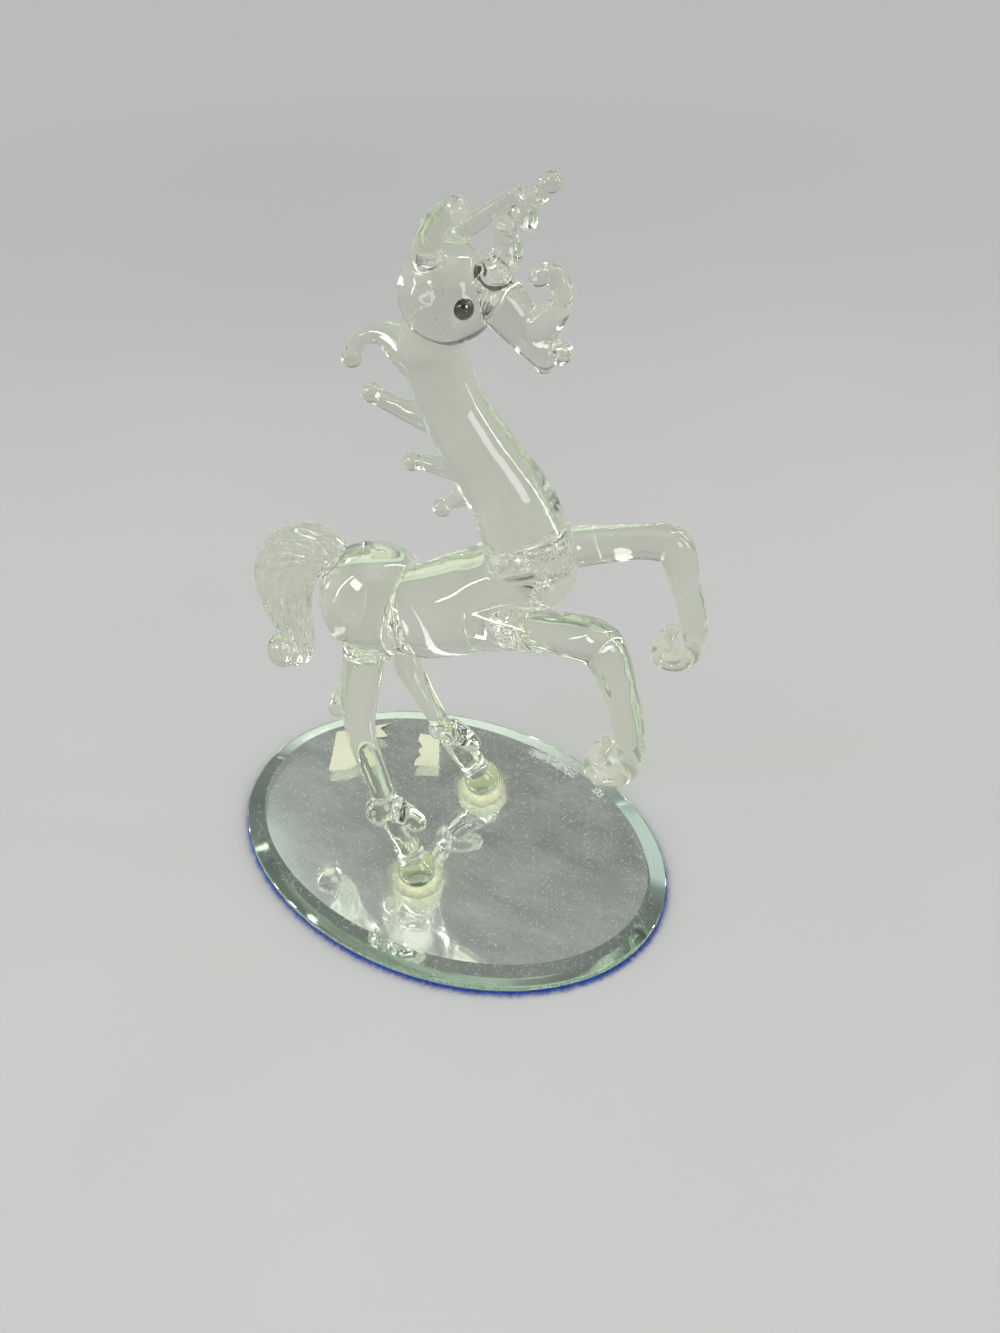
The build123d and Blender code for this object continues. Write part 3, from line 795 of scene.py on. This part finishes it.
def felt_fibres(half_x, half_y, bottom, top, material):
    """Fine fibres in tufts that stand out from the felt's edge."""
    up = np.array([0, 0, 1])
    points, faces = [], []
    for _ in range(FIBRES):
        turn = rng.uniform(0, 2 * math.pi)
        turn = TUFT_STEP * round(turn / TUFT_STEP) + TUFT * rng.normal()
        normal = np.array([math.cos(turn) / half_x, math.sin(turn) / half_y, 0])
        normal /= np.linalg.norm(normal)
        tangent = np.array([-normal[1], normal[0], 0])
        level = rng.uniform(bottom + FIBRE_LOWEST, top - FIBRE_HIGHEST)
        root = np.array([half_x * math.cos(turn), half_y * math.sin(turn), level])
        heading = normal + tangent * rng.normal(0, FIBRE_SPLAY) + up * rng.normal(*FIBRE_TILT)
        heading /= np.linalg.norm(heading)
        droop = tangent * rng.normal(0, FIBRE_SWAY) + up * rng.normal(*FIBRE_SAG)
        length = FIBRE_LENGTH * min(rng.lognormal(0, FIBRE_VARIETY), FIBRE_LONGEST)
        first = len(points)
        for step in range(FIBRE_STEPS + 1):
            along = step / FIBRE_STEPS
            bend = FIBRE_BEND * along * along * droop
            centre = root - FIBRE_ROOT * normal + length * (along * heading + bend)
            thick = FIBRE_R * (1 - FIBRE_TAPER * along)
            for k in range(STRAND_SIDES):
                angle = 2 * math.pi * k / STRAND_SIDES
                spoke = math.cos(angle) * tangent + math.sin(angle) * up
                points.append(np.maximum(centre + thick * spoke, (-1, -1, bottom + FIBRE_CLEAR)))
        tip = first + FIBRE_STEPS * STRAND_SIDES
        faces += tube_faces(first, FIBRE_STEPS, STRAND_SIDES)
        faces.append(tuple(range(tip, tip + STRAND_SIDES)))
    mesh = build_mesh("felt_fibres", np.array(points), faces)
    place("felt_fibres", mesh, None, "felt", material)


def felt_pad():
    """The felt pad with a frayed, rounded edge and its fibres."""
    low, high = (np.array(corner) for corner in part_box("felt_pad"))
    half_x, half_y = (high - low)[:2] / 2 + FELT_SPREAD
    rings = []
    for share in FELT_LEVELS:
        level = low[2] + FELT_LIFT + share * (high[2] - low[2] - FELT_MARGIN)
        ring = oval(half_x, half_y, level, FELT_SEGMENTS)
        for point in ring:
            coarse = noise.noise(Vector(point) * FRAY_COARSE)
            fine = noise.noise(Vector(point) * FRAY_FINE)
            fray = FELT_FRAY * (coarse + FRAY_FINE_SHARE * fine)
            point[:2] *= 1 + (fray - FELT_ROUND * abs(share - 0.5)) / half_y
        rings.append(ring)
    points, faces = skin_rings(rings)
    material = felt()
    mesh = build_mesh("felt_pad_napped", points, faces)
    place("felt_pad_napped", mesh, "felt_pad", "felt", material)
    felt_fibres(half_x, half_y, low[2], high[2], material)


def glue_beads():
    """An uneven skirt of glue round each standing hoof."""
    material = glue()
    n = GLUE_SEGMENTS
    for side in ("right", "left"):
        node = "glue_" + side
        low, high = (np.array(corner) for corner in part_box(node))
        hoof_low, hoof_high = (np.array(corner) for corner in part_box("hind_hoof_" + side))
        centre = (hoof_low + hoof_high)[:2] / 2
        outer = (high - low)[:2] / 2
        offset = (low + high)[:2] / 2 - centre
        height = high[2] - low[2]
        rings = []
        for reach, level in GLUE_PROFILE:
            ring = []
            for k in range(n):
                turn = 2 * math.pi * k / n
                way = np.array([math.cos(turn), math.sin(turn)])
                seat = Vector((way[0] * GLUE_WAVE, way[1] * GLUE_WAVE, GLUE_SEEDS[side]))
                lobes = GLUE_LOBES * noise.noise(seat)
                spread = GLUE_SPREAD + lobes + GLUE_RIPPLE * noise.noise(seat * GLUE_RIPPLE_WAVE)
                uneven = noise.noise(seat * GLUE_UNEVEN_WAVE + Vector(GLUE_UNEVEN_SHIFT))
                rise = max(level * height * (GLUE_RISE + GLUE_UNEVEN * uneven), GLUE_LEAST)
                inner = math.sqrt(HOOF_R**2 - (HOOF_CENTRE_HEIGHT - rise) ** 2) - GLUE_BITE
                edge = np.linalg.norm(way * outer) * spread + offset @ way
                ring.append(np.append(centre + way * (inner + reach * (edge - inner)), low[2] + rise))
            rings.append(np.array(ring))
        points, faces = skin_rings(rings)
        last = (len(rings) - 1) * n
        faces = faces[1:-1] + [(last + k, last + (k + 1) % n, (k + 1) % n, k) for k in range(n)]
        mesh = build_mesh(node + "_bead", points, faces)
        haze = mesh.attributes.new("haze", "FLOAT", "POINT")
        haze.data.foreach_set("value", np.repeat(GLUE_HAZE, n))
        place(node + "_bead", mesh, node, "glue", material)


def label_outline(name):
    """Corners of a label's upper face, in order."""
    points, faces = triangles(name)
    top = points[:, 2].max()
    upper = [face for face in faces if (points[face][:, 2] > top - SAME_LEVEL).all()]
    key = {v: tuple(np.round(points[v][:2], SAME_PLACE_DIGITS)) for face in upper for v in face}
    edges = {(key[face[k]], key[face[(k + 1) % 3]]) for face in upper for k in range(3)}
    step = {a: b for a, b in edges if (b, a) not in edges}
    walk = [min(step)]
    while step[walk[-1]] != walk[0]:
        walk.append(step[walk[-1]])
    return np.array(walk)


def torn_by(point):
    """How far the torn paper falls short of its outline at a point."""
    coarse = noise.noise(Vector((*point, 0)) * TEAR_COARSE)
    fine = noise.noise(Vector((*point, 1)) * TEAR_FINE)
    return LABEL_TEAR * (1 + coarse + TEAR_FINE_SHARE * fine)


def labels():
    """Torn ends of a sticker, with ragged edges."""
    material = paper()
    for name in ("label_end_left", "label_end_right"):
        low, high = (np.array(corner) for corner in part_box(name))
        thickness = high[2] - low[2] - LABEL_LIFT
        corners = label_outline(name)
        middle = corners.mean(axis=0)
        line = []
        for a, b in zip(corners, np.roll(corners, -1, axis=0)):
            count = max(1, int(np.linalg.norm(b - a) / LABEL_STEP))
            line += [a + (b - a) * k / count for k in range(count)]
        rings = []
        for level, inset in LABEL_RINGS:
            ring = []
            for point in line:
                inward = (middle - point) / np.linalg.norm(middle - point)
                spot = point + inward * (torn_by(point) + inset)
                ring.append(np.append(spot, low[2] + LABEL_LIFT + level * thickness))
            rings.append(np.array(ring))
        points, faces = skin_rings(rings)
        mesh = build_mesh(name + "_torn", points, faces, smooth=False)
        place(name + "_torn", mesh, name, "paper", material)


def bevel_drop(spot, half):
    """How far the plate's surface lies under its flat top at a spot."""
    edge = half * np.linalg.norm(spot / half)
    past = 1 - (half.mean() - edge.mean()) / BEVEL_W
    return BEVEL_RISE * min(max(past, 0), 1)


def lint():
    """Fine hairs of lint that have settled on the mirror."""
    low, high = (np.array(corner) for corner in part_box("mirror_plate"))
    half = (high - low)[:2] / 2
    points, faces = [], []
    for _ in range(LINT_HAIRS):
        turn = rng.uniform(0, 2 * math.pi)
        reach = LINT_REACH * math.sqrt(rng.uniform())
        spot = half * reach * np.array([math.cos(turn), math.sin(turn)])
        heading = rng.uniform(0, 2 * math.pi)
        curl = rng.normal(0, LINT_CURL)
        step = LINT_LENGTH * rng.lognormal(0, LINT_VARIETY) / LINT_STEPS
        first = len(points)
        for k in range(LINT_STEPS + 1):
            way = np.array([math.cos(heading), math.sin(heading)])
            across = np.array([-way[1], way[0]])
            from_middle = abs(2 * k / LINT_STEPS - 1)
            thick = LINT_R * (1 - LINT_TAPER * from_middle)
            rest = high[2] - bevel_drop(spot, half) + LINT_LIFT
            for side, rise in LINT_SECTION:
                points.append(np.append(spot + side * thick * across, rest + rise * thick))
            spot = spot + step * way
            heading += curl
        tip = first + LINT_STEPS * STRAND_SIDES
        faces += tube_faces(first, LINT_STEPS, STRAND_SIDES)
        faces.append((first + 2, first + 1, first))
        faces.append((tip, tip + 1, tip + 2))
    mesh = build_mesh("mirror_lint", np.array(points), faces)
    place("mirror_lint", mesh, None, "paper", lint_fibre())


# Studio


def floor():
    """A wide pale floor."""
    line = np.linspace(-FLOOR_HALF, FLOOR_HALF, FLOOR_CELLS + 1)
    points = [(x, y, -FLOOR_DROP) for y in line for x in line]
    row = FLOOR_CELLS + 1
    corners = [j * row + i for j in range(FLOOR_CELLS) for i in range(FLOOR_CELLS)]
    faces = [(a, a + 1, a + row + 1, a + row) for a in corners]
    mesh = build_mesh("floor", points, faces, smooth=False)
    mesh.materials.append(pale_floor())
    ground = bpy.data.objects.new("floor", mesh)
    bpy.context.collection.objects.link(ground)


def lamp(name, place_at, aim, width, height, power, colour=(1, 1, 1)):
    """A soft rectangular lamp that faces a point."""
    light = bpy.data.lights.new(name, "AREA")
    light.shape = "RECTANGLE"
    light.size = width
    light.size_y = height
    light.energy = power
    light.color = colour
    lamp_object = bpy.data.objects.new(name, light)
    lamp_object.location = place_at
    lamp_object.rotation_euler = (Vector(aim) - Vector(place_at)).to_track_quat("-Z", "Y").to_euler()
    bpy.context.collection.objects.link(lamp_object)


def lamps():
    """Two soft lamps and the narrow strips."""
    for name, place_at, width, height, power, colour in SOFT_LAMPS:
        lamp(name, place_at, SOFT_AIM, width, height, power, colour)
    for name, place_at in STRIPS:
        lamp(name, place_at, STRIP_AIM, STRIP_WIDTH, STRIP_HEIGHT, STRIP_WATTS)


def room():
    """A pale backdrop under a dark dome, which draws the glass edges, with a soft window in it."""
    world = bpy.data.worlds.new("studio")
    bpy.context.scene.world = world
    world.use_nodes = True
    nodes = world.node_tree.nodes
    links = world.node_tree.links
    direction = nodes.new("ShaderNodeTexCoord").outputs["Generated"]
    split = nodes.new("ShaderNodeSeparateXYZ")
    links.new(direction, split.inputs["Vector"])
    walls = nodes.new("ShaderNodeValToRGB")
    set_stops(walls, ROOM)
    links.new(split.outputs["Z"], walls.inputs["Fac"])
    towards = nodes.new("ShaderNodeVectorMath")
    towards.operation = "DOT_PRODUCT"
    towards.inputs[1].default_value = WINDOW_WAY
    links.new(direction, towards.inputs[0])
    window = nodes.new("ShaderNodeValToRGB")
    set_stops(window, WINDOW)
    links.new(towards.outputs["Value"], window.inputs["Fac"])
    lit = nodes.new("ShaderNodeMix")
    lit.data_type = "RGBA"
    lit.blend_type = "ADD"
    lit.inputs[0].default_value = 1.0
    links.new(walls.outputs["Color"], lit.inputs[6])
    links.new(window.outputs["Color"], lit.inputs[7])
    links.new(lit.outputs[2], nodes["Background"].inputs["Color"])


def camera():
    """The photograph's view."""
    data = bpy.data.cameras.new("view")
    data.sensor_fit = "VERTICAL"
    data.sensor_height = SENSOR
    data.lens = SENSOR * FOCAL_PIXELS / IMAGE_HEIGHT
    data.clip_start = CLIP_START
    view = bpy.data.objects.new("view", data)
    view.location = CAMERA_AT
    view.rotation_euler = (math.radians(90 - CAMERA_PITCH), 0, math.radians(CAMERA_HEADING - 90))
    bpy.context.collection.objects.link(view)
    bpy.context.scene.camera = view


clear_nodes = slot_nodes("clear_glass")
eye_nodes = slot_nodes("black_glass")
glass_pieces(clear_nodes, eye_nodes)
eye_beads(eye_nodes)
mirror()
felt_pad()
glue_beads()
labels()
lint()
floor()
lamps()
room()
camera()
bpy.context.scene.view_settings.view_transform = "Standard"
bpy.context.scene.cycles.max_bounces = BOUNCES
bpy.context.scene.cycles.glossy_bounces = BOUNCES
bpy.context.scene.cycles.transmission_bounces = BOUNCES
